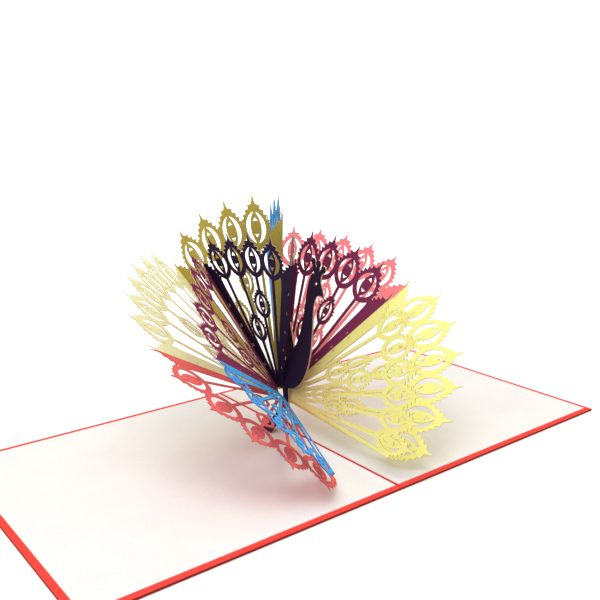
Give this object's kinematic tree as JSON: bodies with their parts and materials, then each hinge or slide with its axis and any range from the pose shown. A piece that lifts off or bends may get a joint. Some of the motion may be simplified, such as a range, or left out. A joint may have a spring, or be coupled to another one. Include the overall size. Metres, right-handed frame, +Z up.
{
  "type": "pop up card",
  "caption": "Square greeting card opened flat, with a cut-paper peacock bird and two nested fans of eye feathers standing over the fold.",
  "frame": {"origin": "under the cover, on its underside, at the middle of the fold", "axes": "+X over the right page, +Y along the fold towards the far end that the tail leans to, +Z up"},
  "size_m": [0.3, 0.1612, 0.1244],
  "materials": {
    "cover_red": "matt coloured card",
    "page_white": "smooth matt paper",
    "bird_plum": "matt coloured paper",
    "fan_coral": "matt coloured paper",
    "fan_yellow": "matt coloured paper",
    "fan_blue": "matt coloured paper",
    "fan_plum": "matt coloured paper",
    "fan_purple": "matt coloured paper"
  },
  "bodies": {
    "root": {"cover_card": "cover_red", "left_page": "page_white", "right_page": "page_white", "bird_left_side": "bird_plum", "bird_right_side": "bird_plum", "outer_coral_left_fan": "fan_coral", "outer_yellow_left_fan": "fan_yellow", "outer_yellow_top_fan": "fan_yellow", "outer_blue_top_fan": "fan_blue", "outer_coral_right_fan": "fan_coral", "outer_yellow_right_fan": "fan_yellow", "inner_blue_left_fan": "fan_blue", "inner_plum_left_fan": "fan_plum", "inner_purple_top_fan": "fan_purple", "inner_plum_top_fan": "fan_plum", "inner_plum_right_fan": "fan_plum", "inner_yellow_right_fan": "fan_yellow"}
  },
  "joints": []
}
